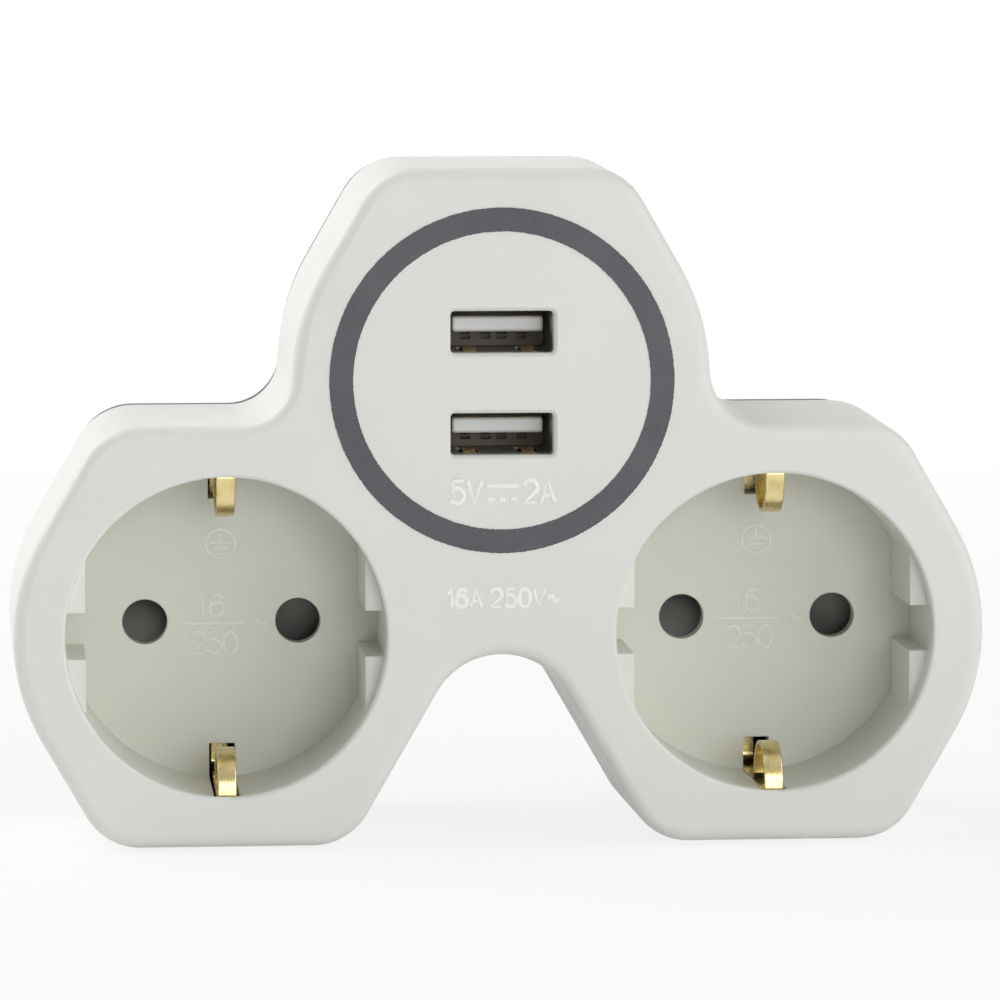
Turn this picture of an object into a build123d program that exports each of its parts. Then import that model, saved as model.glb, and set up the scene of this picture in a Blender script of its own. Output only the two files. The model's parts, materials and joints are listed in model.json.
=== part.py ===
from build123d import *
import os
from math import cos, radians, sin, tan

# Two-way mains adapter with two charging ports, in millimetres.
# +X is right seen from the front, +Y points into the wall, +Z is up.
# The origin lies midway between the plug pins, on the plug's pin face.

# Outline of the three lobes, seen from the front
socket_spacing = 67.0
plug_rise = 31.0
lobe_apothem = 26.2
side_radius = 26.0
upper_side_radius = 28.0
corner_radius = 8.0
shoulder_radius = 6.0
arch_radius = 8.6

# Covers
front_cover_depth = 28.0
rear_cover_depth = 12.0
side_wall = 2.0
face_wall = 2.0
rear_wall = 2.0
draft_angle = 1.0
front_edge_radius = 1.5
rear_edge_radius = 3.0
rear_step = 0.55
lip_thickness = 1.0
lip_height = 1.6
fit_clearance = 0.1

# Printed ring round the ports
ring_outer_radius = 21.0
ring_inner_radius = 18.05
ink_thickness = 0.06

# Socket wells
well_radius = 19.5
well_depth = 17.5
well_wall = 1.8
well_floor = 2.5
well_rim_radius = 0.4
pin_spacing = 19.0
pin_hole_radius = 2.8
guide_half_gap = 17.0
guide_notch = 5.6
guide_reach = 9.55
guide_drop = 3.0
earth_slot_width = 3.2
earth_slot_reach = 4.2
earth_slot_drop = 0.6

# Earth clips in the wells
earth_clip_width = 2.3
earth_clip_thickness = 0.5
earth_clip_edge = 0.15
earth_clip_setback = 0.65
earth_nose_reach = 5.0
earth_arch_depth = 9.2
earth_arch_bend = 4.5
earth_arch_lean = 0.5
earth_rim_drop = 1.0
earth_rim_bend = 0.8
earth_tail_reach = 0.6
earth_base_bend = 1.5

# Shutters behind the well floors
shutter_gap = 0.3
shutter_depth = 5.4
shutter_radius = 13.2
shutter_hub_radius = 5.0
shutter_half_angle = 19.0
shutter_ramp_depth = 4.0
pivot_radius = 1.5
pivot_clearance = 0.2
retainer_play = 0.7
retainer_wall = 1.1
retainer_plate = 1.5
retainer_hole_radius = 3.2
spring_width = 3.4
spring_thickness = 0.3
spring_bend = 1.2
spring_apex_radius = 7.3
spring_apex_angle = 74.0

# Plug
plug_body_depth = 17.0
plug_radius = 18.3
plug_flat = 16.4
plug_ridge = 5.0
plug_face_wall = 5.0
plug_face_edge = 1.0
plug_flange_radius = 19.2
plug_flange_thickness = 0.8
plug_pocket_radius = 13.0
plug_channel_width = 6.6
plug_channel_floor = 15.2
pin_radius = 2.4
pin_length = 19.0
pin_tip_radius = 1.8
pin_seat_radius = 2.7
pin_seat_height = 0.3
pin_collar_radius = 3.3
pin_collar_length = 2.0
pin_tail_radius = 1.8
pin_tail_length = 25.0
earth_hole_radius = 2.6
earth_hole_rise = 10.0
earth_hole_depth = 14.0
earth_boss_radius = 4.2
earth_sleeve_radius = 2.35
earth_sleeve_wall = 0.4
strap_width = 6.0
strap_thickness = 1.0
strap_end_drop = 1.5
strap_inset = 1.2

# Contact bars and their pin clips
bar_thickness = 0.8
rail_height = 3.0
live_rail_drop = 20.0
neutral_rail_drop = 23.5
live_level = 1.1
neutral_level = 4.1
clip_plate = 8.0
clip_leaf_width = 5.0
clip_leaf_thickness = 0.6
clip_pinch = 2.65
clip_mouth = 3.5
clip_bend = 2.0
eyelet_radius = 3.4
riser_width = 4.0
earth_bar_height = 4.0
earth_bar_drop = 17.0
earth_bar_overhang = 2.0

# Cover screws
screw_reach = 23.4
screw_post_radius = 3.2
screw_pilot_radius = 1.45
screw_shank_radius = 1.4
screw_shank_length = 14.0
screw_head_radius = 2.6
screw_head_height = 1.9
screw_hole_radius = 1.7
screw_recess_radius = 3.0
screw_recess_wall = 1.0
screw_seat = 3.0
screw_cross_width = 0.8
screw_cross_length = 3.2
screw_cross_depth = 1.0

# Charging ports
port_width = 12.55
port_height = 5.12
port_corner = 0.5
port_edge_chamfer = 0.4
port_spacing = 12.4
port_drop = 0.3
shell_wall = 0.3
shell_depth = 13.4
finger_window_width = 2.4
finger_window_length = 6.0
finger_window_offset = 3.6
finger_width = 1.5
finger_sag = 0.5
tongue_setback = 6.8
tongue_thickness = 1.85
tongue_width = 11.1
tongue_corner = 0.35
tongue_gap = 1.05
port_base_depth = 2.6
base_notch_width = 1.2
base_notch_height = 0.35
base_notch_depth = 1.0
base_notch_drops = (0.5, 1.1)
contact_width = 1.0
contact_thickness = 0.25
contact_relief = 0.05
contact_inner = 1.0
contact_outer = 3.5

# Charger board
board_width = 32.0
board_top = 16.5
board_bottom = -16.0
board_thickness = 1.6
board_post_radius = 2.2
board_pin_radius = 1.0
board_post_inset = 2.6
core_width = 13.2
core_height = 11.5
core_depth = 6.0
core_leg = 3.4
core_window_width = 2.6
core_window_height = 7.6
winding_depth = 11.0
bobbin_base = 1.0
capacitor_radius = 4.0
capacitor_height = 12.0
capacitor_edge = 0.8
input_capacitor_rise = 12.0
input_capacitor_places = (-10.5, -1.5)
output_capacitor_drop = 10.5
output_capacitor_places = (-4.5, 4.5)
rectifier_size = (6.4, 2.5, 5.0)
rectifier_inset = 8.0
rectifier_rise = 11.5
chip_size = (5.0, 1.5, 4.0)
chip_inset = 4.8
chip_drop = 6.5
noise_capacitor_radius = 3.6
noise_capacitor_thickness = 3.4
noise_capacitor_inset = 4.0
noise_capacitor_drop = 2.5
fuse_radius = 1.6
fuse_length = 7.0
fuse_inset = 4.4
fuse_rise = 3.0
lead_radius = 0.8
lead_bend = 4.0
lead_start_drop = 9.0
lead_end_inset = 2.5
lead_end_drop = 13.0
lead_straight = 5.0

# Depths that the pieces share
wall_face_y = -plug_body_depth
rear_inside_y = wall_face_y - rear_wall
parting_y = wall_face_y - rear_cover_depth
front_y = parting_y - front_cover_depth
face_inside_y = front_y + face_wall
floor_y = front_y + well_depth
floor_back_y = floor_y + well_floor
shutter_front_y = floor_back_y + shutter_gap
shutter_back_y = shutter_front_y + shutter_depth
retainer_front_y = shutter_back_y + shutter_gap
retainer_back_y = retainer_front_y + retainer_plate
live_back_y = rear_inside_y - live_level
neutral_back_y = rear_inside_y - neutral_level
earth_base_y = retainer_back_y + earth_clip_thickness
earth_bar_y = earth_base_y + bar_thickness
shell_front_y = face_inside_y + fit_clearance
board_front_y = shell_front_y + shell_depth
board_back_y = board_front_y + board_thickness

# Sizes that follow from others
retainer_radius = shutter_radius + retainer_play + retainer_wall

# Places that the pieces share
half_spacing = socket_spacing / 2
half_pins = pin_spacing / 2
half_board = board_width / 2
socket_places = {"left": (-half_spacing, -plug_rise), "right": (half_spacing, -plug_rise)}
port_places = {"upper": port_spacing / 2 - port_drop, "lower": -port_spacing / 2 - port_drop}
contact_places = (-contact_outer, -contact_inner, contact_inner, contact_outer)
screw_places = (
    (-screw_reach * cos(radians(60)), screw_reach * sin(radians(60))),
    (screw_reach * cos(radians(60)), screw_reach * sin(radians(60))),
    (-half_spacing - screw_reach * cos(radians(60)), -plug_rise - screw_reach * sin(radians(60))),
    (half_spacing + screw_reach * cos(radians(60)), -plug_rise - screw_reach * sin(radians(60))),
)


def slab(sketch, front, back, taper=0.0):
    """Prism of a front-view sketch between two depths; a taper narrows it towards the front."""
    return extrude(Plane.XZ.offset(-back) * sketch, amount=back - front, taper=taper)


def disc(x, z, radius):
    """Front-view circle."""
    return Pos(x, z) * Circle(radius)


def rod(x, z, radius, front, back):
    """Round bar along the depth."""
    return slab(disc(x, z, radius), front, back)


def strip(x_a, x_b, z_a, z_b):
    """Front-view rectangle from its edges, each pair in either order."""
    return Pos((x_a + x_b) / 2, (z_a + z_b) / 2) * Rectangle(abs(x_b - x_a), abs(z_b - z_a))


def bent_strip(points, bends, profile):
    """Strip with a given section that follows a bent path, the section's width along X."""
    path = FilletPolyline(*points, radius=bends)
    return sweep(Plane(origin=path @ 0, x_dir=(1, 0, 0), z_dir=path % 0) * profile, path=path)


def outline(inset=0.0):
    """Front view of the covers: three hexagonal lobes with rounded sides, moved inwards by the inset."""
    apothem = lobe_apothem - inset
    half_flat = apothem * tan(radians(30))
    reach = apothem / cos(radians(30))
    corner = corner_radius - inset
    side = side_radius - inset
    upper_side = upper_side_radius - inset
    top = FilletPolyline(
        (half_flat, apothem),
        (reach, 0),
        (half_flat, -apothem),
        (-half_flat, -apothem),
        (-reach, 0),
        (-half_flat, apothem),
        radius=[corner, upper_side, corner, corner, upper_side, corner],
        close=True,
    )
    base_z = -plug_rise - apothem
    shoulder_z = -plug_rise + apothem
    apex_z = -plug_rise + (half_spacing - reach) * tan(radians(60))
    lower = FilletPolyline(
        (0, apex_z),
        (half_spacing - half_flat, base_z),
        (half_spacing + half_flat, base_z),
        (half_spacing + reach, -plug_rise),
        (half_spacing + half_flat, shoulder_z),
        (-half_spacing - half_flat, shoulder_z),
        (-half_spacing - reach, -plug_rise),
        (-half_spacing - half_flat, base_z),
        (-half_spacing + half_flat, base_z),
        radius=[arch_radius + inset, corner, corner, side, corner, corner, side, corner, corner],
        close=True,
    )
    joined = make_face(top) + make_face(lower)
    on_shoulder = joined.vertices().filter_by(lambda v: abs(v.Y - shoulder_z) < 1e-4)
    inner_pair = sorted(on_shoulder, key=lambda v: abs(v.X))[:2]
    return fillet(inner_pair, shoulder_radius + inset)


def board_posts():
    """Places of the four posts that carry the charger board."""
    x = half_board - board_post_inset
    return [(side * x, z) for side in (-1, 1) for z in (board_bottom + board_post_inset, 0.0)]


def guide_blocks(x, z):
    """Front view of the four guide blocks on the sides of a well."""
    bore = disc(x, z, well_radius + well_wall / 2)
    blocks = []
    for side in (-1, 1):
        inner = x + side * guide_half_gap
        outer = x + side * (well_radius + well_wall)
        for level in (-1, 1):
            span = strip(inner, outer, z + level * guide_notch / 2, z + level * guide_reach)
            blocks.append(span & bore)
    return blocks


def well_space(x, z):
    """Space of a socket well, flared at its rounded rim."""
    rim = well_radius + well_rim_radius
    rim_y = front_y + well_rim_radius
    middle = well_rim_radius * cos(radians(45))
    section = Polyline(
        (well_radius, rim_y),
        (well_radius, floor_y),
        (0, floor_y),
        (0, front_y),
        (rim, front_y),
    )
    section += ThreePointArc((rim, front_y), (rim - middle, rim_y - middle), (well_radius, rim_y))
    return Pos(x, 0, z) * revolve(make_face(section), Axis.Y)


def front_cover():
    """Pale front shell with the socket wells, the port openings and the posts inside."""
    shell = slab(outline(), front_y, parting_y, draft_angle)
    shell = fillet(shell.faces().sort_by(Axis.Y)[0].edges(), front_edge_radius)
    space = slab(outline(side_wall), face_inside_y, parting_y, draft_angle)
    for x, z in socket_places.values():
        space -= rod(x, z, well_radius + well_wall, face_inside_y, floor_back_y)
    for x, z in screw_places:
        space -= rod(x, z, screw_post_radius, face_inside_y, parting_y)
    for x, z in board_posts():
        space -= rod(x, z, board_post_radius, face_inside_y, board_front_y)
        space -= rod(x, z, board_pin_radius, board_front_y, board_back_y)
    shell -= space
    for x, z in screw_places:
        shell -= rod(x, z, screw_pilot_radius, parting_y - screw_shank_length, parting_y)
    for x, z in socket_places.values():
        shell -= well_space(x, z)
    for z in port_places.values():
        mouth = Pos(0, z) * RectangleRounded(port_width, port_height, port_corner)
        shell -= slab(mouth, front_y, face_inside_y)
        shell -= slab(mouth, front_y, front_y + port_edge_chamfer, -45)
    for x, z in socket_places.values():
        for block in guide_blocks(x, z):
            shell += slab(block, front_y + guide_drop, floor_y + well_floor / 2)
        for end in (-1, 1):
            inner = z + end * (well_radius - earth_slot_reach)
            outer = z + end * (well_radius + well_wall + fit_clearance)
            slot = strip(x - earth_slot_width / 2, x + earth_slot_width / 2, inner, outer)
            shell -= slab(slot, front_y + earth_slot_drop, floor_back_y)
        for side in (-1, 1):
            shell -= rod(x + side * half_pins, z, pin_hole_radius, floor_y, floor_back_y)
    return shell


def plug_channel(side, outer):
    """Section of the earth channel above or below the plug, out to the given height."""
    half_width = plug_channel_width / 2
    return strip(-half_width, half_width, side * plug_channel_floor, side * outer)


def plug_outline():
    """Section of the plug body: a circle with side flats, side ridges and the two earth channels."""
    section = Circle(plug_radius)
    for side in (-1, 1):
        for level in (-1, 1):
            section -= strip(
                side * plug_flat, side * plug_radius, level * plug_ridge / 2, level * plug_radius
            )
        section -= plug_channel(side, plug_radius)
    return section


def rear_cover():
    """Dark rear shell, open where the plug comes through."""
    tray = slab(outline(rear_step), parting_y, wall_face_y)
    tray = fillet(tray.faces().sort_by(Axis.Y)[-1].edges(), rear_edge_radius)
    hollow = slab(outline(rear_step + side_wall), parting_y, rear_inside_y)
    hollow = fillet(hollow.faces().sort_by(Axis.Y)[-1].edges(), rear_edge_radius - side_wall)
    for x, z in screw_places:
        hollow -= rod(x, z, screw_recess_radius + screw_recess_wall, parting_y, rear_inside_y)
    tray -= hollow
    lip_outer = side_wall + fit_clearance
    lip = outline(lip_outer) - outline(lip_outer + lip_thickness)
    for x, z in screw_places:
        lip -= disc(x, z, screw_post_radius + fit_clearance)
    tray += slab(lip, parting_y - lip_height, parting_y + side_wall)
    tray -= rod(0, 0, plug_radius + fit_clearance, rear_inside_y, wall_face_y)
    for x, z in screw_places:
        tray -= rod(x, z, screw_hole_radius, parting_y, wall_face_y)
        tray -= rod(x, z, screw_recess_radius, parting_y + screw_seat, wall_face_y)
    return tray


def plug_body():
    """Plug insert: its flange lies behind the rear cover's wall and its round foot fills the hole there."""
    flange_y = rear_inside_y - plug_flange_thickness
    body = fillet(slab(plug_outline(), wall_face_y, 0).faces().sort_by(Axis.Y)[-1].edges(), plug_face_edge)
    body += rod(0, 0, plug_radius, rear_inside_y, wall_face_y)
    body += rod(0, 0, plug_flange_radius, flange_y, rear_inside_y)
    pocket = rod(0, 0, plug_pocket_radius, flange_y, -plug_face_wall)
    body -= pocket - rod(0, earth_hole_rise, earth_boss_radius, -earth_hole_depth, -plug_face_wall)
    body -= rod(0, earth_hole_rise, earth_hole_radius, -earth_hole_depth, 0)
    for side in (-1, 1):
        body -= rod(side * half_pins, 0, pin_seat_radius + fit_clearance / 2, -plug_face_wall, 0)
        slot = plug_channel(side, plug_channel_floor + strap_thickness + fit_clearance)
        body -= slab(slot, flange_y, wall_face_y)
    return body


def printed_ring():
    """Film of ink on the front face."""
    return slab(Circle(ring_outer_radius) - Circle(ring_inner_radius), front_y - ink_thickness, front_y)


def cover_screws():
    """Self-tapping screws that hold the covers together."""
    seat_y = parting_y + screw_seat
    head_y = seat_y + screw_head_height
    bar = Rectangle(screw_cross_length, screw_cross_width)
    cross = bar + Rot(0, 0, 90) * bar
    screws = []
    for x, z in screw_places:
        screw = rod(x, z, screw_head_radius, seat_y, head_y)
        screw += rod(x, z, screw_shank_radius, seat_y + fit_clearance - screw_shank_length, seat_y)
        screw -= slab(Pos(x, z) * cross, head_y - screw_cross_depth, head_y)
        screws.append(screw)
    return Compound(children=screws)


def plug_pin(side):
    """Round plug pin with a seat in the pin face, a collar behind it and a riveted tail."""
    x = side * half_pins
    tip = rod(x, 0, pin_radius, pin_seat_height, pin_length)
    tip = fillet(tip.faces().sort_by(Axis.Y)[-1].edges(), pin_tip_radius)
    tip += rod(x, 0, pin_seat_radius, -plug_face_wall, pin_seat_height)
    collar = rod(x, 0, pin_collar_radius, -plug_face_wall - pin_collar_length, -plug_face_wall)
    tail = rod(x, 0, pin_tail_radius, -pin_tail_length, -plug_face_wall - pin_collar_length)
    return tip + collar + tail


def plug_earth_strap():
    """Earth strap of the plug: a leg in each channel, a cross bar inside and a tail to the earth bar."""
    back_y = rear_inside_y - strap_inset
    cross_y = back_y - strap_thickness
    half_width = strap_width / 2
    outer = plug_channel_floor + strap_thickness
    strap = slab(strip(-half_width, half_width, -outer, outer), cross_y, back_y)
    for side, leg_y in ((-1, earth_bar_y), (1, cross_y)):
        leg = strip(-half_width, half_width, side * plug_channel_floor, side * outer)
        strap += slab(leg, leg_y, -strap_end_drop)
    sleeve = disc(0, earth_hole_rise, earth_sleeve_radius + earth_sleeve_wall)
    sleeve -= disc(0, earth_hole_rise, earth_sleeve_radius)
    return strap + slab(sleeve, back_y, -earth_hole_depth)


def shutter(x, z):
    """Turning shutter: a hub with two wings, each with a ramp that a plug pin pushes aside."""
    half = radians(shutter_half_angle)
    far = shutter_radius * 2
    wedge = make_face(Polyline((0, 0), (far, -far * tan(half)), (far, far * tan(half)), close=True))
    wing = Circle(shutter_radius) & wedge
    plan = wing + Rot(0, 0, 180) * wing + Circle(shutter_hub_radius)
    plan -= Circle(pivot_radius + pivot_clearance)
    blank = slab(plan, shutter_front_y, shutter_back_y)
    edge = shutter_radius * sin(half)
    slope = shutter_ramp_depth / (2 * edge)
    ramp_section = Plane.YZ.offset(shutter_hub_radius) * make_face(
        Polyline(
            (shutter_front_y, edge),
            (shutter_front_y + slope * 3 * edge, -2 * edge),
            (shutter_front_y, -2 * edge),
            close=True,
        )
    )
    ramp = extrude(ramp_section, amount=shutter_radius)
    blank -= ramp
    blank -= Rot(0, 180, 0) * ramp
    return Pos(x, 0, z) * blank


def shutter_retainer(x, z):
    """Cup behind a well floor that carries the shutter on its pivot."""
    plate = disc(x, z, retainer_radius)
    for side in (-1, 1):
        plate -= disc(x + side * half_pins, z, retainer_hole_radius)
    wall = disc(x, z, retainer_radius) - disc(x, z, retainer_radius - retainer_wall)
    cup = slab(plate, retainer_front_y, retainer_back_y)
    cup += slab(wall, floor_back_y, retainer_front_y)
    return cup + rod(x, z, pivot_radius, floor_back_y + fit_clearance, retainer_front_y)


def shutter_spring(x, z):
    """Leaf hairpin between a shutter wing and the retainer wall."""
    half = radians(shutter_half_angle)
    lift = spring_thickness / 2 + shutter_gap
    reach = shutter_radius - spring_bend
    wing_end = (reach * cos(half) - lift * sin(half), reach * sin(half) + lift * cos(half))
    apex_angle = radians(spring_apex_angle)
    apex = (spring_apex_radius * cos(apex_angle), spring_apex_radius * sin(apex_angle))
    seat_radius = retainer_radius - retainer_wall - spring_thickness
    wall_end = (seat_radius * cos(radians(60)), seat_radius * sin(radians(60)))
    path = Plane.XZ * FilletPolyline(wing_end, apex, wall_end, radius=spring_bend)
    start = Plane(origin=path @ 0, x_dir=(0, 1, 0), z_dir=path % 0)
    leaf = sweep(start * Rectangle(spring_width, spring_thickness), path=path)
    return Pos(x, (shutter_front_y + shutter_back_y) / 2, z) * leaf


def earth_clip(x, z):
    """Sprung earth contact of a socket: one strip with an arched nose at each end."""
    nose = well_radius - earth_nose_reach
    leg = well_radius + earth_clip_setback
    base_y = retainer_back_y + earth_clip_thickness / 2
    rim_y = front_y + earth_rim_drop
    arch_y = rim_y + earth_arch_lean
    upper = [
        (x, arch_y + earth_arch_depth + earth_arch_lean, well_radius - earth_tail_reach),
        (x, arch_y + earth_arch_depth, nose),
        (x, arch_y, nose),
        (x, rim_y, leg),
        (x, base_y, leg),
    ]
    lower = [(px, py, -pz) for px, py, pz in reversed(upper)]
    bends = [earth_arch_bend, earth_arch_bend, earth_rim_bend, earth_base_bend]
    points = [(px, py, pz + z) for px, py, pz in upper + lower]
    profile = RectangleRounded(earth_clip_width, earth_clip_thickness, earth_clip_edge)
    return bent_strip(points, bends + bends[::-1], profile)


def pin_clip(x, z, level):
    """Two sprung leaves that grip a plug pin, standing forward of the bar."""
    mouth_y = retainer_back_y + fit_clearance * 2
    pinch_y = mouth_y + clip_bend
    leaves = []
    for side in (-1, 1):
        foot_z = clip_plate / 2 - clip_leaf_thickness / 2
        points = [
            (x, level, z + side * foot_z),
            (x, pinch_y, z + side * (clip_pinch + clip_leaf_thickness / 2)),
            (x, mouth_y, z + side * (clip_mouth + clip_leaf_thickness / 2)),
        ]
        leaves.append(bent_strip(points, clip_bend, Rectangle(clip_leaf_width, clip_leaf_thickness)))
    return leaves[0] + leaves[1]


def contact_bar(pin_side, clip_places, rail_drop, back):
    """Bar from a plug pin to one pin clip of each socket."""
    front = back - bar_thickness
    pin_x = pin_side * half_pins
    half_plate = clip_plate / 2
    rail_low = -rail_drop - rail_height / 2
    rail_high = -rail_drop + rail_height / 2
    plan = strip(min(clip_places) - half_plate, max(clip_places) + half_plate, rail_low, rail_high)
    plan += strip(pin_x - riser_width / 2, pin_x + riser_width / 2, rail_low, 0)
    plan += disc(pin_x, 0, eyelet_radius)
    for x in clip_places:
        plan += strip(x - half_plate, x + half_plate, -plug_rise - half_plate, rail_high)
    for x in clip_places:
        plan -= disc(x, -plug_rise, pin_hole_radius)
    plan -= disc(pin_x, 0, pin_tail_radius + fit_clearance)
    bar = slab(plan, front, back)
    for x in clip_places:
        bar += pin_clip(x, -plug_rise, front)
    return bar


def earth_bar():
    """Bar that joins the two earth clips to the plug's earth strap."""
    half_length = half_spacing + earth_bar_overhang
    low = -earth_bar_drop - earth_bar_height / 2
    high = -earth_bar_drop + earth_bar_height / 2
    return slab(strip(-half_length, half_length, low, high), earth_base_y, earth_bar_y)


def port_shell(z):
    """Folded steel shell of a charging port with sprung fingers in its wide walls."""
    outer = Pos(0, z) * RectangleRounded(
        port_width + 2 * shell_wall, port_height + 2 * shell_wall, port_corner + shell_wall
    )
    inner = Pos(0, z) * RectangleRounded(port_width, port_height, port_corner)
    shell = slab(outer - inner, shell_front_y, board_front_y)
    window_front = shell_front_y + finger_window_length / 2
    window_back = window_front + finger_window_length
    for level in (-1, 1):
        wall_z = z + level * (port_height + shell_wall) / 2
        for side in (-1, 1):
            x = side * finger_window_offset
            window = Pos(x, wall_z) * Rectangle(finger_window_width, 2 * shell_wall)
            shell -= slab(window, window_front, window_back)
            finger = [
                (x, window_back, wall_z),
                (x, window_front + finger_window_length / 3, wall_z - level * finger_sag),
                (x, window_front + fit_clearance, wall_z),
            ]
            shell += bent_strip(finger, finger_window_length / 2, Rectangle(finger_width, shell_wall))
    return shell


def tongue_middle(z):
    """Height of the middle of a port's tongue."""
    return z + port_height / 2 - tongue_gap - tongue_thickness / 2


def contact_spans(z):
    """Front view of the four contact strips, almost sunk in the tongue's underside."""
    middle = tongue_middle(z) - tongue_thickness / 2 - contact_relief + contact_thickness / 2
    return [Pos(x, middle) * Rectangle(contact_width, contact_thickness) for x in contact_places]


def port_tongue(z):
    """Insulating tongue of a port, with a groove for each contact."""
    blade = Pos(0, tongue_middle(z)) * RectangleRounded(tongue_width, tongue_thickness, tongue_corner)
    tongue = slab(blade, front_y + tongue_setback, board_front_y - port_base_depth)
    for span in contact_spans(z):
        tongue -= slab(span, front_y + tongue_setback + contact_width, board_front_y - port_base_depth)
    return tongue


def port_base(z):
    """Dark base that closes the back of a shell and carries the tongue."""
    base_y = board_front_y - port_base_depth
    plan = Pos(0, z) * RectangleRounded(
        port_width - fit_clearance, port_height - fit_clearance, port_corner - fit_clearance / 2
    )
    base = slab(plan, base_y, board_front_y)
    under_tongue = tongue_middle(z) - tongue_thickness / 2
    for x in contact_places:
        for drop in base_notch_drops:
            notch = Pos(x, under_tongue - drop) * Rectangle(base_notch_width, base_notch_height)
            base -= slab(notch, base_y, base_y + base_notch_depth)
    return base


def port_contacts(z):
    """Four contact strips under a tongue."""
    front = front_y + tongue_setback + contact_width
    back = board_front_y - port_base_depth
    return Compound(children=[slab(span, front, back) for span in contact_spans(z)])


def usb_board():
    """Circuit board of the charger, with a hole for each post pin."""
    plan = strip(-half_board, half_board, board_bottom, board_top)
    for x, z in board_posts():
        plan -= disc(x, z, board_pin_radius + fit_clearance)
    return slab(plan, board_front_y, board_back_y)


def transformer_core():
    """Pair of E cores: a frame with a middle leg."""
    middle_y = board_back_y + bobbin_base + core_height / 2
    window = Rectangle(core_window_width, core_window_height)
    plan = Rectangle(core_width, core_height)
    for side in (-1, 1):
        plan -= Pos(side * (core_leg + core_window_width) / 2, 0) * window
    return Pos(0, middle_y, 0) * extrude(plan, amount=core_depth / 2, both=True)


def transformer_winding():
    """Taped winding round the middle leg, on its bobbin base."""
    middle_y = board_back_y + bobbin_base + core_height / 2
    plan = RectangleRounded(core_leg + 2 * core_window_width, winding_depth, core_window_width)
    coil = Pos(0, middle_y, 0) * extrude(Plane.XZ * plan, amount=core_window_height / 2, both=True)
    base = slab(Rectangle(core_width, winding_depth), board_back_y, board_back_y + bobbin_base)
    foot = slab(Rectangle(core_leg, winding_depth), board_back_y + bobbin_base, middle_y)
    return coil + base + foot - transformer_core()


def capacitors(places, z):
    """Round cans that stand on the board."""
    cans = []
    for x in places:
        can = rod(x, z, capacitor_radius, board_back_y, board_back_y + capacitor_height)
        cans.append(fillet(can.faces().sort_by(Axis.Y)[-1].edges(), capacitor_edge))
    return Compound(children=cans)


def board_block(size, x, z):
    """Flat-bodied component on the back of the board."""
    width, height, depth = size
    return slab(Pos(x, z) * Rectangle(width, depth), board_back_y, board_back_y + height)


def noise_capacitor():
    """Disc capacitor that stands on its edge."""
    centre = Pos(board_back_y + noise_capacitor_radius, -noise_capacitor_drop)
    sheet = Plane.YZ * (centre * Circle(noise_capacitor_radius))
    coated = extrude(sheet, amount=noise_capacitor_thickness / 2, both=True)
    return Pos(half_board - noise_capacitor_inset, 0, 0) * coated


def fuse_resistor():
    """Round fusible resistor that lies on the board."""
    section = Pos(fuse_inset - half_board, board_back_y + fuse_radius) * Circle(fuse_radius)
    return Pos(0, 0, fuse_rise) * extrude(section, amount=fuse_length / 2, both=True)


def mains_lead(side, bar_front):
    """Short insulated lead from a contact bar to the board."""
    x_start = side * half_pins
    x_end = side * (half_board - lead_end_inset)
    path = FilletPolyline(
        (x_start, bar_front, -lead_start_drop),
        (x_start, bar_front - lead_straight, -lead_start_drop),
        (x_end, board_back_y + lead_straight, -lead_end_drop),
        (x_end, board_back_y, -lead_end_drop),
        radius=lead_bend,
    )
    return sweep(Plane(origin=path @ 0, z_dir=path % 0) * Circle(lead_radius), path=path)


live_clips = (-half_spacing - half_pins, half_spacing - half_pins)
neutral_clips = (-half_spacing + half_pins, half_spacing + half_pins)
pieces = {
    "front_cover": front_cover(),
    "rear_cover": rear_cover(),
    "plug_body": plug_body(),
    "printed_ring": printed_ring(),
    "cover_screws": cover_screws(),
    "left_plug_pin": plug_pin(-1),
    "right_plug_pin": plug_pin(1),
    "plug_earth_strap": plug_earth_strap(),
    "live_bar": contact_bar(-1, live_clips, live_rail_drop, live_back_y),
    "neutral_bar": contact_bar(1, neutral_clips, neutral_rail_drop, neutral_back_y),
    "earth_bar": earth_bar(),
    "usb_board": usb_board(),
    "transformer_core": transformer_core(),
    "transformer_winding": transformer_winding(),
    "input_capacitors": capacitors(input_capacitor_places, input_capacitor_rise),
    "output_capacitors": capacitors(output_capacitor_places, -output_capacitor_drop),
    "rectifier": board_block(rectifier_size, half_board - rectifier_inset, rectifier_rise),
    "control_chip": board_block(chip_size, chip_inset - half_board, -chip_drop),
    "noise_capacitor": noise_capacitor(),
    "fuse_resistor": fuse_resistor(),
    "live_lead": mains_lead(-1, live_back_y - bar_thickness),
    "neutral_lead": mains_lead(1, neutral_back_y - bar_thickness),
}
for name, place in socket_places.items():
    pieces[name + "_shutter"] = shutter(*place)
    pieces[name + "_shutter_retainer"] = shutter_retainer(*place)
    pieces[name + "_shutter_spring"] = shutter_spring(*place)
    pieces[name + "_earth_clip"] = earth_clip(*place)
for name, rise in port_places.items():
    pieces[name + "_port_shell"] = port_shell(rise)
    pieces[name + "_port_base"] = port_base(rise)
    pieces[name + "_port_tongue"] = port_tongue(rise)
    pieces[name + "_port_contacts"] = port_contacts(rise)

os.makedirs("parts", exist_ok=True)
for name, piece in pieces.items():
    export_step(piece, f"parts/{name}.step")
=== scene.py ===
import json
import math
import random

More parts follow.
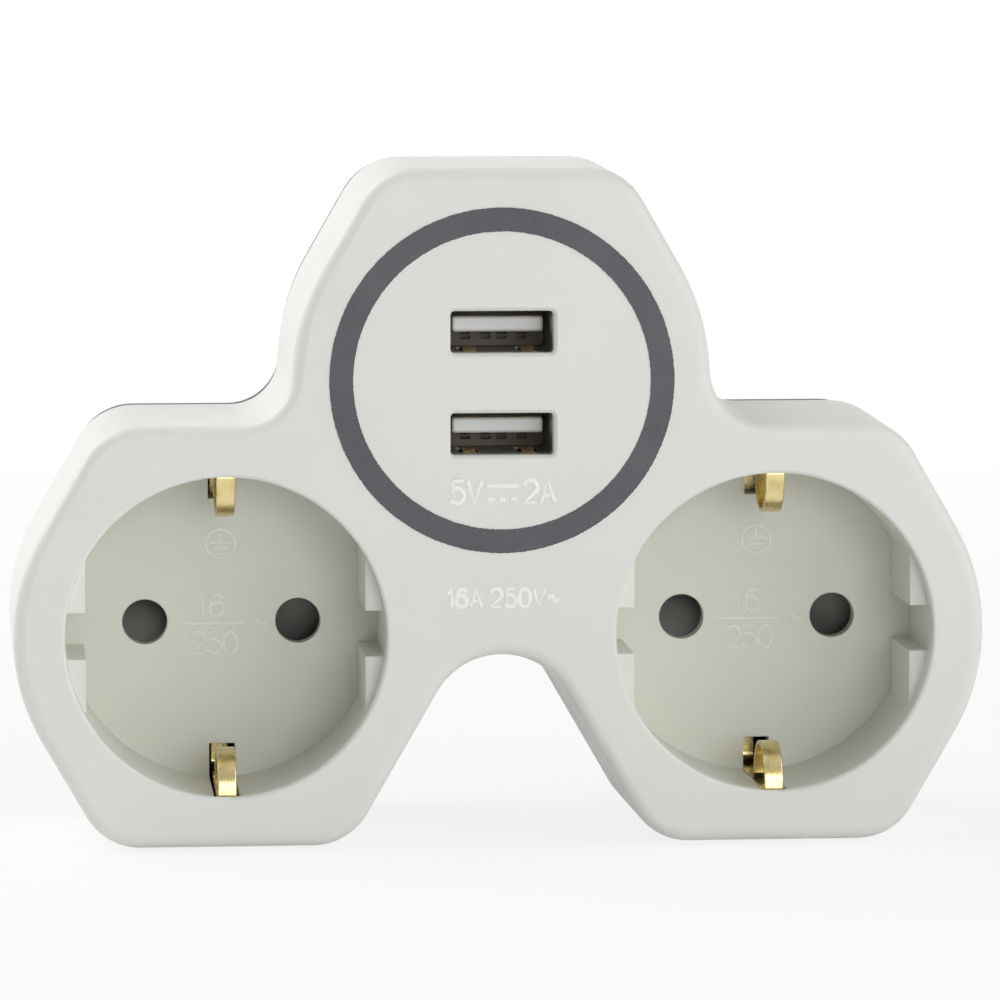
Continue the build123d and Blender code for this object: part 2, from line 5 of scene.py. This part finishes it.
import bpy
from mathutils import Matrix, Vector


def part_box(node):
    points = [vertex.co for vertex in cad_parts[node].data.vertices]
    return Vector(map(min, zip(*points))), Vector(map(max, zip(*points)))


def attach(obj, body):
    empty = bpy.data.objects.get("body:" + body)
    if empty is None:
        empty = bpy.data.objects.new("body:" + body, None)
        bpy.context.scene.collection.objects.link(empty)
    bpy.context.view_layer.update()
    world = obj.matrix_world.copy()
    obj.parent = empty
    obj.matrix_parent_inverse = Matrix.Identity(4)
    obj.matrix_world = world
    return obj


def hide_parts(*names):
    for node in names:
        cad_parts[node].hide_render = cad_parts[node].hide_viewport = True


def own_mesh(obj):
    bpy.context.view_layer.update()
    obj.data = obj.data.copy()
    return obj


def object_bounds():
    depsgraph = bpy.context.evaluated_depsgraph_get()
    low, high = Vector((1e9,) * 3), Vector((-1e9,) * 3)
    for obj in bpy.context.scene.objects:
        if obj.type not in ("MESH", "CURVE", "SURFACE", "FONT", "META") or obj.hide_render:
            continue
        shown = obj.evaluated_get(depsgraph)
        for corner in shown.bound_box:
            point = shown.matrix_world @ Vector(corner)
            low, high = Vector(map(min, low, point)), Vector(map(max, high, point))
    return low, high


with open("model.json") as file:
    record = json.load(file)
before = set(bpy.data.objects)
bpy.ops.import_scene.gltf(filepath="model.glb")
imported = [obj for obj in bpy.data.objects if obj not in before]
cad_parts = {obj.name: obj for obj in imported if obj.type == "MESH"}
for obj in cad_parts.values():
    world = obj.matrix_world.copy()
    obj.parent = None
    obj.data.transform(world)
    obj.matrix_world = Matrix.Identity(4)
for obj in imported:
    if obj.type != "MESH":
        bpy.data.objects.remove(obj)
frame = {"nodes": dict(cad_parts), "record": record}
cad_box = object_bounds()
nodes = frame["nodes"]

# Sizes are in millimetres and turned into metres by MM.
MM = 0.001

# View of the photograph: where the camera aims, how far off it stands and from which side
VIEW_AIM = (-0.29, -57.0, -14.49)
VIEW_DISTANCE = 666.7
VIEW_AZIMUTH = -5.016
VIEW_ELEVATION = 5.522
VIEW_LENS = 197.86

# Faces that carry marks
FRONT_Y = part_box("front_cover")[0][1] / MM
SOCKET_X = 33.5
SOCKET_Z = -31.0
WELL_DEPTH = 17.5
WELL_REACH = 20.0
FLOOR_Y = FRONT_Y + WELL_DEPTH

# Printed ring
RING_OUTER = 21.0
RING_INNER = 18.05
RING_RAGGED = 0.07
RING_STEPS = 720

# Moulded marks: how flat their ridges are, and sizes and places in a well from the socket's middle
MARK_FLATNESS = 0.5
SAME_PLACE = 0.001
FIGURE_SUNK = 0.6
FIGURE_HEIGHT = 2.75
FIGURE_STROKE = 0.205
UPPER_FIGURES = (-1.45, 0.62)
UPPER_FIGURES_GAP = 0.8
LOWER_FIGURES = (-0.92, -4.05)
LOWER_FIGURES_GAP = 0.36
RULE_MIDDLE = (-1.25, -0.28)
RULE_LENGTH = 8.2
WAVE_MIDDLE = (4.8, -0.2)
WAVE_SIZE = (1.9, 0.3)
EARTH_SIGN = (-0.08, 9.65)
EARTH_SIGN_RADIUS = 1.82
EARTH_STEM = (0.14, 1.3)
EARTH_BARS = ((0.14, 1.5), (-0.54, 1.0), (-1.2, 0.4))

# Ratings on the front face
RATING_STROKE = 0.33
RATING_SUNK = 0.5
RATING_GAP = 0.42
PORT_RATING_HEIGHT = 2.8
PORT_RATING_Z = -14.9
PORT_RATING_PLACES = (-4.45, 4.45)
DIRECT_SIGN_WIDTH = 3.8
DIRECT_SIGN_RISES = (0.5, 2.1)
SOCKET_RATING_HEIGHT = 2.2
SOCKET_RATING_Z = -27.55

# Sprung fingers of the ports and the tan painted reflection on them
FINGER_OFFSET = 3.6
FINGER_HALF_WIDTH = 0.75
FINGER_PAINTED_REFLECTION = (0.95, 0.74, 0.48)

# Rounding of the port tongues' edges and the painted shade on it
TONGUE_EDGE = 0.6
TONGUE_EDGE_PAINTED_SHADE = (0.56, 0.53, 0.42)

# Colour and speckle of the printed ring
INK = (0.08, 0.083, 0.092)
INK_SPECKLE = 0.13

# Colour of the pale plastic, the painted highlight that makes the marks lighter, and the warmer painted
# shade deep in the wells
PALE = (0.79, 0.8, 0.755)
MARK_PAINTED_HIGHLIGHT = 1.23
WELL_PAINTED_SHADE = (0.915, 0.904, 0.864)

# Floor in metres: half its side, the glow under the object and where the glow becomes full
FLOOR_HALF = 60.0
FLOOR_GLOW_NEAR = 0.84
FLOOR_FADE = (0.12, 0.5)

# Studio light: how strong the surroundings are, their greys, and each lamp's place, size and power
WORLD_STRENGTH = 0.22
WORLD_FRONT = (0.36, 0.36, 0.36)
WORLD_BACK = (1.0, 1.0, 1.0)
LAMP_AIM = (0.0, -45.0, -15.0)
LAMPS = {
    "top_left_lamp": ((-600.0, 200.0, 560.0), 900.0, 7.4),
    "front_lamp": ((700.0, -560.0, 340.0), 850.0, 3.9),
    "fill_lamp": ((160.0, -850.0, 80.0), 380.0, 1.87),
}


def arc(centre_x, centre_y, radius_x, radius_y, start, end, steps=14):
    """Points along part of an ellipse, by angles in degrees."""
    points = []
    for step in range(steps + 1):
        angle = math.radians(start + (end - start) * step / steps)
        points.append((centre_x + radius_x * math.cos(angle), centre_y + radius_y * math.sin(angle)))
    return points


# Strokes of the figures in a cell one unit high; a figure's first entry is its width
FIGURES = {
    "0": (0.6, [arc(0.3, 0.5, 0.3, 0.5, 90, 450, 28)]),
    "1": (0.34, [[(0.0, 0.76), (0.2, 0.84), (0.3, 1.0), (0.3, 0.0)]]),
    "2": (0.6, [arc(0.3, 0.7, 0.3, 0.3, 170, -38) + [(0.0, 0.0), (0.6, 0.0)]]),
    "5": (0.6, [[(0.56, 1.0), (0.12, 1.0), (0.05, 0.48)] + arc(0.28, 0.33, 0.32, 0.33, 124, -155, 20)]),
    "6": (
        0.6,
        [arc(0.3, 0.33, 0.3, 0.33, 180, 540, 28), arc(0.32, 0.5, 0.32, 0.5, 185, 35, 16)],
    ),
    "A": (0.62, [[(0.0, 0.0), (0.31, 1.0), (0.62, 0.0)], [(0.12, 0.34), (0.5, 0.34)]]),
    "V": (0.62, [[(0.0, 1.0), (0.31, 0.0), (0.62, 1.0)]]),
    "~": (0.6, [arc(0.15, 0.42, 0.15, 0.16, 200, 0, 8) + arc(0.45, 0.42, 0.15, 0.16, 180, 380, 8)]),
    " ": (0.12, []),
}


def text_strokes(text, height, gap, middle_x, base_z):
    """Strokes of a line of figures, centred on a place of a face."""
    widths = [FIGURES[letter][0] * height for letter in text]
    x = middle_x - (sum(widths) + gap * (len(text) - 1)) / 2
    strokes = []
    for letter, width in zip(text, widths):
        for stroke in FIGURES[letter][1]:
            strokes.append([(x + u * height, base_z + v * height) for u, v in stroke])
        x += width + gap
    return strokes


def distinct_places(stroke):
    """Places along a stroke without repeats, and whether it closes on itself."""
    places = [stroke[0]]
    for place in stroke[1:]:
        if math.dist(place, places[-1]) > SAME_PLACE:
            places.append(place)
    closed = math.dist(places[0], places[-1]) < SAME_PLACE
    if closed:
        places.pop()
    return places, closed


def raised_strokes(name, strokes, face_y, half_width, sunk):
    """Low rounded ridges along strokes on a front face, with a share of their height sunk in it."""
    curve = bpy.data.curves.new(name, "CURVE")
    curve.dimensions = "3D"
    curve.bevel_depth = half_width * MM
    curve.bevel_resolution = 4
    curve.use_fill_caps = True
    for stroke in strokes:
        places, closed = distinct_places(stroke)
        spline = curve.splines.new("POLY")
        spline.use_cyclic_u = closed
        spline.points.add(len(places) - 1)
        for point, (x, z) in zip(spline.points, places):
            point.co = (x * MM, face_y * MM, z * MM, 1.0)
    temporary = bpy.data.objects.new(name + "_curve", curve)
    bpy.context.collection.objects.link(temporary)
    mesh = bpy.data.meshes.new_from_object(temporary.evaluated_get(bpy.context.evaluated_depsgraph_get()))
    bpy.data.objects.remove(temporary)
    piece = bpy.data.objects.new(name, mesh)
    bpy.context.collection.objects.link(piece)
    height = half_width * MARK_FLATNESS * MM
    for corner in mesh.vertices:
        rise = (corner.co.y - face_y * MM) * MARK_FLATNESS
        corner.co.y = face_y * MM + rise + height * sunk
    for face in mesh.polygons:
        face.use_smooth = True
    return piece


def carry(piece, material):
    """Gives a piece its finish and lets it ride on the housing."""
    piece.data.materials.clear()
    piece.data.materials.append(material)
    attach(piece, "housing")


def new_material(name):
    """Empty node material with its shader and object coordinates."""
    material = bpy.data.materials.new(name)
    material.use_nodes = True
    tree = material.node_tree
    place = tree.nodes.new("ShaderNodeTexCoord").outputs["Object"]
    return material, tree, tree.nodes["Principled BSDF"], place


def noise(tree, place, grain_mm, detail=2.0):
    """Noise whose patches measure about the grain."""
    texture = tree.nodes.new("ShaderNodeTexNoise")
    texture.inputs["Scale"].default_value = 1.0 / (grain_mm * MM)
    texture.inputs["Detail"].default_value = detail
    tree.links.new(place, texture.inputs["Vector"])
    return texture.outputs["Fac"]


def spread(tree, value, low, high, low_at=0.3, high_at=0.7):
    """Maps a noise to a range of numbers."""
    mapped = tree.nodes.new("ShaderNodeMapRange")
    mapped.inputs["From Min"].default_value = low_at
    mapped.inputs["From Max"].default_value = high_at
    mapped.inputs["To Min"].default_value = low
    mapped.inputs["To Max"].default_value = high
    tree.links.new(value, mapped.inputs["Value"])
    return mapped.outputs["Result"]


def blend_colours(tree, value, first, second):
    """Colour between two, by a number from 0 to 1."""
    mix = tree.nodes.new("ShaderNodeMix")
    mix.data_type = "RGBA"
    mix.inputs["A"].default_value = (*first, 1.0)
    mix.inputs["B"].default_value = (*second, 1.0)
    tree.links.new(value, mix.inputs["Factor"])
    return mix.outputs["Result"]


def relief(tree, shader, height, depth_mm, strength=1.0, edge_mm=0.0):
    """Bump of a given depth, over edges softened by a given radius."""
    bump = tree.nodes.new("ShaderNodeBump")
    bump.inputs["Distance"].default_value = depth_mm * MM
    bump.inputs["Strength"].default_value = strength
    tree.links.new(height, bump.inputs["Height"])
    if edge_mm:
        edge = tree.nodes.new("ShaderNodeBevel")
        edge.samples = 6
        edge.inputs["Radius"].default_value = edge_mm * MM
        tree.links.new(edge.outputs["Normal"], bump.inputs["Normal"])
    tree.links.new(bump.outputs["Normal"], shader.inputs["Normal"])


def shade(colour, factor):
    """Colour made darker or lighter."""
    return tuple(channel * factor for channel in colour)


def plastic(name, colour, roughness, grain_mm, depth_mm, mottle=0.03, edge_mm=0.15):
    """Moulded plastic: faint mottling, uneven gloss, a fine grain of a given depth and softened edges."""
    material, tree, shader, place = new_material(name)
    cloud = spread(tree, noise(tree, place, 14.0, 3.0), 0.0, 1.0)
    colours = blend_colours(tree, cloud, shade(colour, 1.0 - mottle), shade(colour, 1.0 + mottle))
    tree.links.new(colours, shader.inputs["Base Color"])
    gloss = spread(tree, noise(tree, place, 5.0, 4.0), roughness - 0.05, roughness + 0.05)
    tree.links.new(gloss, shader.inputs["Roughness"])
    relief(tree, shader, noise(tree, place, grain_mm, 2.0), depth_mm, 0.5, edge_mm)
    return material


def metal(name, colour, tarnish, roughness, grain_mm, stretch=(1.0, 1.0, 1.0), depth_mm=0.004):
    """Sheet or turned metal: drawn streaks and patches of tarnish."""
    material, tree, shader, place = new_material(name)
    shader.inputs["Metallic"].default_value = 1.0
    scaled = tree.nodes.new("ShaderNodeMapping")
    scaled.inputs["Scale"].default_value = stretch
    tree.links.new(place, scaled.inputs["Vector"])
    patches = spread(tree, noise(tree, place, 2.5, 4.0), 0.0, 1.0, 0.45, 0.75)
    tree.links.new(blend_colours(tree, patches, colour, tarnish), shader.inputs["Base Color"])
    streaks = noise(tree, scaled.outputs["Vector"], grain_mm, 3.0)
    tree.links.new(spread(tree, streaks, roughness - 0.06, roughness + 0.1), shader.inputs["Roughness"])
    relief(tree, shader, streaks, depth_mm, 0.4, 0.08)
    return material


def lay_over(material, colour, share, blend="MIX"):
    """Lays a colour over a material's own, by a share from 0 to 1."""
    tree = material.node_tree
    base = tree.nodes["Principled BSDF"].inputs["Base Color"]
    mix = tree.nodes.new("ShaderNodeMix")
    mix.data_type = "RGBA"
    mix.blend_type = blend
    mix.inputs["B"].default_value = (*colour, 1.0)
    tree.links.new(base.links[0].from_socket, mix.inputs["A"])
    tree.links.new(share, mix.inputs["Factor"])
    tree.links.new(mix.outputs["Result"], base)


def well_shade_share(tree):
    """Share of the painted shade in the wells: 0 outside the wells and at their rims, rising to 1 on
    their floors.
    """
    place = tree.nodes.new("ShaderNodeTexCoord").outputs["Object"]
    axes = tree.nodes.new("ShaderNodeSeparateXYZ")
    tree.links.new(place, axes.inputs["Vector"])
    depth = spread(tree, axes.outputs["Y"], 0.0, 1.0, FRONT_Y * MM, FLOOR_Y * MM)
    flat = tree.nodes.new("ShaderNodeVectorMath")
    flat.operation = "MULTIPLY"
    flat.inputs[1].default_value = (1.0, 0.0, 1.0)
    tree.links.new(place, flat.inputs[0])
    either = tree.nodes.new("ShaderNodeMath")
    either.operation = "MAXIMUM"
    for x, side in zip((-SOCKET_X, SOCKET_X), either.inputs):
        distance = tree.nodes.new("ShaderNodeVectorMath")
        distance.operation = "DISTANCE"
        distance.inputs[1].default_value = (x * MM, 0.0, SOCKET_Z * MM)
        tree.links.new(flat.outputs["Vector"], distance.inputs[0])
        inside = tree.nodes.new("ShaderNodeMath")
        inside.operation = "LESS_THAN"
        inside.inputs[1].default_value = WELL_REACH * MM
        tree.links.new(distance.outputs["Value"], inside.inputs[0])
        tree.links.new(inside.outputs["Value"], side)
    share = tree.nodes.new("ShaderNodeMath")
    share.operation = "MULTIPLY"
    tree.links.new(depth, share.inputs[0])
    tree.links.new(either.outputs["Value"], share.inputs[1])
    return share.outputs["Value"]


def pale_plastic(name, colour):
    """Grey-white satin plastic of the front cover, with a warmer painted shade deep in the wells."""
    material = plastic(name, colour, 0.42, 0.35, 0.006, 0.012, 0.25)
    tree = material.node_tree
    # Painted shade: the colour is multiplied darker and warmer deeper in the wells
    lay_over(material, WELL_PAINTED_SHADE, well_shade_share(tree), "MULTIPLY")
    shader = tree.nodes["Principled BSDF"]
    shader.inputs["Subsurface Weight"].default_value = 0.06
    shader.inputs["Subsurface Radius"].default_value = (0.0015, 0.0013, 0.001)
    shader.inputs["Subsurface Scale"].default_value = 1.0
    return material


def port_steel():
    """Plated sheet of the ports, with a tan painted reflection on the sprung fingers."""
    material = metal("port_steel", (0.5, 0.49, 0.47), (0.38, 0.36, 0.33), 0.34, 0.25, (1.0, 0.2, 1.0))
    tree = material.node_tree
    place = tree.nodes.new("ShaderNodeTexCoord")
    axes = tree.nodes.new("ShaderNodeSeparateXYZ")
    tree.links.new(place.outputs["Object"], axes.inputs["Vector"])
    sideways = tree.nodes.new("ShaderNodeMath")
    sideways.operation = "ABSOLUTE"
    tree.links.new(axes.outputs["X"], sideways.inputs[0])
    finger_band = tree.nodes.new("ShaderNodeMath")
    finger_band.operation = "COMPARE"
    finger_band.inputs[1].default_value = FINGER_OFFSET * MM
    finger_band.inputs[2].default_value = FINGER_HALF_WIDTH * MM
    tree.links.new(sideways.outputs["Value"], finger_band.inputs[0])
    # Painted reflection: the sprung fingers are tinted tan as if reflecting brass
    lay_over(material, FINGER_PAINTED_REFLECTION, finger_band.outputs["Value"])
    return material


def tongue_plastic():
    """White plastic of the port tongues, with painted shade making their rounded edges greyer."""
    material = plastic("tongue_plastic", (0.88, 0.925, 0.93), 0.35, 0.3, 0.004, 0.01, TONGUE_EDGE)
    tree = material.node_tree
    rounded = tree.nodes.new("ShaderNodeBevel")
    rounded.samples = 6
    rounded.inputs["Radius"].default_value = TONGUE_EDGE * MM
    facing = tree.nodes.new("ShaderNodeVectorMath")
    facing.operation = "DOT_PRODUCT"
    tree.links.new(rounded.outputs["Normal"], facing.inputs[0])
    tree.links.new(tree.nodes.new("ShaderNodeNewGeometry").outputs["True Normal"], facing.inputs[1])
    # Painted shade: greyer where the softened edge normal turns away from the face
    lay_over(material, TONGUE_EDGE_PAINTED_SHADE, spread(tree, facing.outputs["Value"], 1.0, 0.0, 0.9, 1.0))
    return material


def ring_ink():
    """Dark grey screen print with a fine speckle."""
    material = plastic("ring_ink", shade(INK, 1.0 + INK_SPECKLE), 0.5, 0.25, 0.008, 0.06, 0.0)
    tree = material.node_tree
    place = tree.nodes.new("ShaderNodeTexCoord").outputs["Object"]
    grain = spread(tree, noise(tree, place, 0.17, 1.0), 1.0, 0.0, 0.35, 0.65)
    darkest = (1.0 - INK_SPECKLE) / (1.0 + INK_SPECKLE)
    lay_over(material, (darkest, darkest, darkest), grain, "MULTIPLY")
    return material


def build_ring(material):
    """Printed ring with the slightly ragged edge of a screen print."""
    random.seed(7)
    low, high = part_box("printed_ring")
    corners = []
    for step in range(RING_STEPS):
        angle = 2 * math.pi * step / RING_STEPS
        outer = (RING_OUTER - random.random() * RING_RAGGED) * MM
        inner = (RING_INNER + random.random() * RING_RAGGED) * MM
        for radius, y in ((outer, low[1]), (outer, high[1]), (inner, high[1]), (inner, low[1])):
            corners.append((radius * math.cos(angle), y, radius * math.sin(angle)))
    faces = []
    for step in range(RING_STEPS):
        here = step * 4
        there = (step + 1) % RING_STEPS * 4
        for side in range(4):
            after = (side + 1) % 4
            faces.append((here + side, here + after, there + after, there + side))
    mesh = bpy.data.meshes.new("ring_print")
    mesh.from_pydata(corners, [], faces)
    mesh.update()
    piece = bpy.data.objects.new("ring_print", mesh)
    bpy.context.collection.objects.link(piece)
    carry(piece, material)
    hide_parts("printed_ring")


def build_springs(material):
    """Leaf springs of the shutters, each with its own mesh and carried on the housing; on the real object
    they close up as the shutters turn.
    """
    for side, x in (("left", -SOCKET_X), ("right", SOCKET_X)):
        name = side + "_shutter_spring"
        piece = bpy.data.objects.new(side + "_leaf_spring", nodes[name].data.copy())
        bpy.context.collection.objects.link(piece)
        carry(piece, material)
        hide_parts(name)
        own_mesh(piece)


def earth_sign(x, z):
    """Strokes of the earth sign in its circle."""
    strokes = [arc(x, z, EARTH_SIGN_RADIUS, EARTH_SIGN_RADIUS, 0, 360, 40)]
    strokes.append([(x, z + rise) for rise in EARTH_STEM])
    for rise, half in EARTH_BARS:
        strokes.append([(x - half, z + rise), (x + half, z + rise)])
    return strokes


def wave(x, z, width, height):
    """Strokes of the sign for alternating current."""
    steps = 20
    points = []
    for step in range(steps + 1):
        part = step / steps
        points.append((x + (part - 0.5) * width, z + height * math.sin(2 * math.pi * part)))
    return [points]


def direct_sign(x, base_z):
    """Strokes of the sign for direct current: a rule over three dashes."""
    low, high = DIRECT_SIGN_RISES
    half = DIRECT_SIGN_WIDTH / 2
    dash = DIRECT_SIGN_WIDTH / 4
    strokes = [[(x - half, base_z + high), (x + half, base_z + high)]]
    for place in (-1, 0, 1):
        middle = x + place * (half - dash / 2)
        strokes.append([(middle - dash / 2, base_z + low), (middle + dash / 2, base_z + low)])
    return strokes


def well_strokes(x, z):
    """Strokes of the marks on a well floor."""
    rule_x = x + RULE_MIDDLE[0]
    rule_z = z + RULE_MIDDLE[1]
    strokes = earth_sign(x + EARTH_SIGN[0], z + EARTH_SIGN[1])
    for text, gap, place in (
        ("16", UPPER_FIGURES_GAP, UPPER_FIGURES),
        ("250", LOWER_FIGURES_GAP, LOWER_FIGURES),
    ):
        strokes += text_strokes(text, FIGURE_HEIGHT, gap, x + place[0], z + place[1])
    strokes.append([(rule_x - RULE_LENGTH / 2, rule_z), (rule_x + RULE_LENGTH / 2, rule_z)])
    return strokes + wave(x + WAVE_MIDDLE[0], z + WAVE_MIDDLE[1], *WAVE_SIZE)


def build_marks(material):
    """Moulded signs and plain figures on the well floors and the front face."""
    for side, x in (("left", -SOCKET_X), ("right", SOCKET_X)):
        strokes = well_strokes(x, SOCKET_Z)
        marks = raised_strokes(side + "_well_marks", strokes, FLOOR_Y, FIGURE_STROKE, FIGURE_SUNK)
        carry(marks, material)
    left, right = PORT_RATING_PLACES
    strokes = text_strokes("5V", PORT_RATING_HEIGHT, RATING_GAP, left, PORT_RATING_Z)
    strokes += direct_sign(0.0, PORT_RATING_Z)
    strokes += text_strokes("2A", PORT_RATING_HEIGHT, RATING_GAP, right, PORT_RATING_Z)
    strokes += text_strokes("16A 250V~", SOCKET_RATING_HEIGHT, RATING_GAP, 0.0, SOCKET_RATING_Z)
    marks = raised_strokes("front_marks", strokes, FRONT_Y, RATING_STROKE, RATING_SUNK)
    carry(marks, material)


def finish_nodes(materials):
    """Gives every CAD node its finish by the record's slots."""
    for part in frame["record"]["subparts"]:
        node = nodes[part["node"]]
        for slot in node.material_slots:
            slot.material = materials[part["material_slot"]]


def build_materials():
    """One finish for each slot of the record."""
    brass = metal("brass", (0.8, 0.68, 0.35), (0.58, 0.46, 0.18), 0.24, 0.3, (4.0, 1.0, 1.0), 0.003)
    nickel = metal("nickel_pin", (0.72, 0.7, 0.65), (0.6, 0.57, 0.5), 0.2, 0.25, (1.0, 0.1, 1.0))
    return {
        "pale_plastic": pale_plastic("pale_plastic", PALE),
        "dark_plastic": plastic("dark_plastic", (0.05, 0.051, 0.055), 0.55, 0.18, 0.02, 0.08),
        "ring_ink": ring_ink(),
        "shutter_plastic": plastic("shutter_plastic", (0.17, 0.174, 0.16), 0.5, 0.3, 0.008, 0.08),
        "carrier_plastic": plastic("carrier_plastic", (0.62, 0.62, 0.58), 0.5, 0.4, 0.006),
        "brass": brass,
        "nickel_pin": nickel,
        "spring_steel": metal("spring_steel", (0.55, 0.55, 0.55), (0.45, 0.44, 0.42), 0.3, 0.2),
        "port_steel": port_steel(),
        "screw_steel": metal("screw_steel", (0.58, 0.58, 0.56), (0.45, 0.44, 0.4), 0.3, 0.2),
        "tongue_plastic": tongue_plastic(),
        "base_plastic": plastic("base_plastic", (0.135, 0.115, 0.088), 0.5, 0.3, 0.008, 0.08),
        "contact_gold": metal("contact_gold", (0.86, 0.62, 0.26), (0.7, 0.48, 0.2), 0.25, 0.2),
        "board": plastic("board", (0.03, 0.14, 0.06), 0.35, 0.5, 0.01, 0.1),
        "ferrite": plastic("ferrite", (0.03, 0.03, 0.033), 0.6, 0.2, 0.01, 0.1),
        "winding_tape": plastic("winding_tape", (0.75, 0.5, 0.04), 0.3, 0.8, 0.01, 0.05),
        "can_sleeve": plastic("can_sleeve", (0.02, 0.025, 0.05), 0.3, 0.5, 0.004, 0.1),
        "component": plastic("component", (0.015, 0.015, 0.015), 0.5, 0.2, 0.006, 0.1),
        "disc_coat": plastic("disc_coat", (0.05, 0.16, 0.5), 0.3, 0.6, 0.01, 0.06),
        "fuse_coat": plastic("fuse_coat", (0.2, 0.36, 0.26), 0.4, 0.3, 0.006, 0.05),
        "live_wire": plastic("live_wire", (0.15, 0.06, 0.025), 0.4, 0.4, 0.004, 0.05),
        "neutral_wire": plastic("neutral_wire", (0.02, 0.08, 0.4), 0.4, 0.4, 0.004, 0.05),
    }


def seen_rays(tree):
    """1 for rays of the camera, of reflections and through glass, else 0."""
    path = tree.nodes.new("ShaderNodeLightPath")
    total = path.outputs["Is Camera Ray"]
    for name in ("Is Glossy Ray", "Is Transmission Ray"):
        add = tree.nodes.new("ShaderNodeMath")
        add.operation = "MAXIMUM"
        tree.links.new(total, add.inputs[0])
        tree.links.new(path.outputs[name], add.inputs[1])
        total = add.outputs["Value"]
    return total


def build_floor():
    """Plain pale floor that keeps a soft shadow."""
    half = FLOOR_HALF
    height = cad_box[0][2]
    mesh = bpy.data.meshes.new("studio_floor")
    corners = [(-half, -half, height), (half, -half, height), (half, half, height), (-half, half, height)]
    mesh.from_pydata(corners, [], [(0, 1, 2, 3)])
    floor = bpy.data.objects.new("studio_floor", mesh)
    bpy.context.collection.objects.link(floor)
    material = bpy.data.materials.new("studio_floor")
    material.use_nodes = True
    tree = material.node_tree
    shader = tree.nodes["Principled BSDF"]
    shader.inputs["Base Color"].default_value = (0.86, 0.86, 0.86, 1.0)
    shader.inputs["Roughness"].default_value = 0.9
    shader.inputs["Specular IOR Level"].default_value = 0.0
    glow = tree.nodes.new("ShaderNodeEmission")
    place = tree.nodes.new("ShaderNodeTexCoord")
    distance = tree.nodes.new("ShaderNodeVectorMath")
    distance.operation = "LENGTH"
    tree.links.new(place.outputs["Object"], distance.inputs[0])
    fade = spread(tree, distance.outputs["Value"], FLOOR_GLOW_NEAR, 1.0, *FLOOR_FADE)
    weight = tree.nodes.new("ShaderNodeMath")
    weight.operation = "MULTIPLY"
    tree.links.new(fade, weight.inputs[1])
    tree.links.new(seen_rays(tree), weight.inputs[0])
    mix = tree.nodes.new("ShaderNodeMixShader")
    tree.links.new(weight.outputs["Value"], mix.inputs["Fac"])
    tree.links.new(shader.outputs["BSDF"], mix.inputs[1])
    tree.links.new(glow.outputs["Emission"], mix.inputs[2])
    tree.links.new(mix.outputs["Shader"], tree.nodes["Material Output"].inputs["Surface"])
    mesh.materials.append(material)


def build_world():
    """Studio surroundings, white behind the object and darker in front of it."""
    world = bpy.data.worlds.new("studio")
    bpy.context.scene.world = world
    world.use_nodes = True
    tree = world.node_tree
    background = tree.nodes["Background"]
    place = tree.nodes.new("ShaderNodeTexCoord")
    axes = tree.nodes.new("ShaderNodeSeparateXYZ")
    tree.links.new(place.outputs["Generated"], axes.inputs["Vector"])
    depth = spread(tree, axes.outputs["Y"], 0.0, 1.0, -0.9, 0.1)
    tree.links.new(blend_colours(tree, depth, WORLD_FRONT, WORLD_BACK), background.inputs["Color"])
    level = spread(tree, seen_rays(tree), WORLD_STRENGTH, 1.0, 0.0, 1.0)
    tree.links.new(level, background.inputs["Strength"])


def build_lamps():
    """Soft square lamps that all face the object."""
    for name, (place, size, power) in LAMPS.items():
        lamp = bpy.data.lights.new(name, "AREA")
        lamp.size = size * MM
        lamp.energy = power
        light = bpy.data.objects.new(name, lamp)
        bpy.context.collection.objects.link(light)
        light.location = Vector(place) * MM
        light.rotation_euler = (Vector(LAMP_AIM) - Vector(place)).to_track_quat("-Z", "Y").to_euler()


def build_camera():
    """Camera at the photograph's view."""
    azimuth = math.radians(VIEW_AZIMUTH)
    elevation = math.radians(VIEW_ELEVATION)
    outward = Vector(
        (
            math.sin(azimuth) * math.cos(elevation),
            -math.cos(azimuth) * math.cos(elevation),
            math.sin(elevation),
        )
    )
    lens = bpy.data.cameras.new("photo_view")
    lens.lens = VIEW_LENS
    lens.sensor_width = 36.0
    lens.clip_end = 100.0
    camera = bpy.data.objects.new("photo_view", lens)
    bpy.context.collection.objects.link(camera)
    camera.location = (Vector(VIEW_AIM) + outward * VIEW_DISTANCE) * MM
    camera.rotation_euler = (-outward).to_track_quat("-Z", "Y").to_euler()
    bpy.context.scene.camera = camera


bpy.context.scene.view_settings.view_transform = "Standard"
materials = build_materials()
finish_nodes(materials)
build_ring(materials["ring_ink"])
build_springs(materials["spring_steel"])
# The marks are the pale plastic made lighter: a painted highlight for the light their raised strokes
# catch
build_marks(pale_plastic("painted_highlight_mark_plastic", shade(PALE, MARK_PAINTED_HIGHLIGHT)))
build_floor()
build_world()
build_lamps()
build_camera()
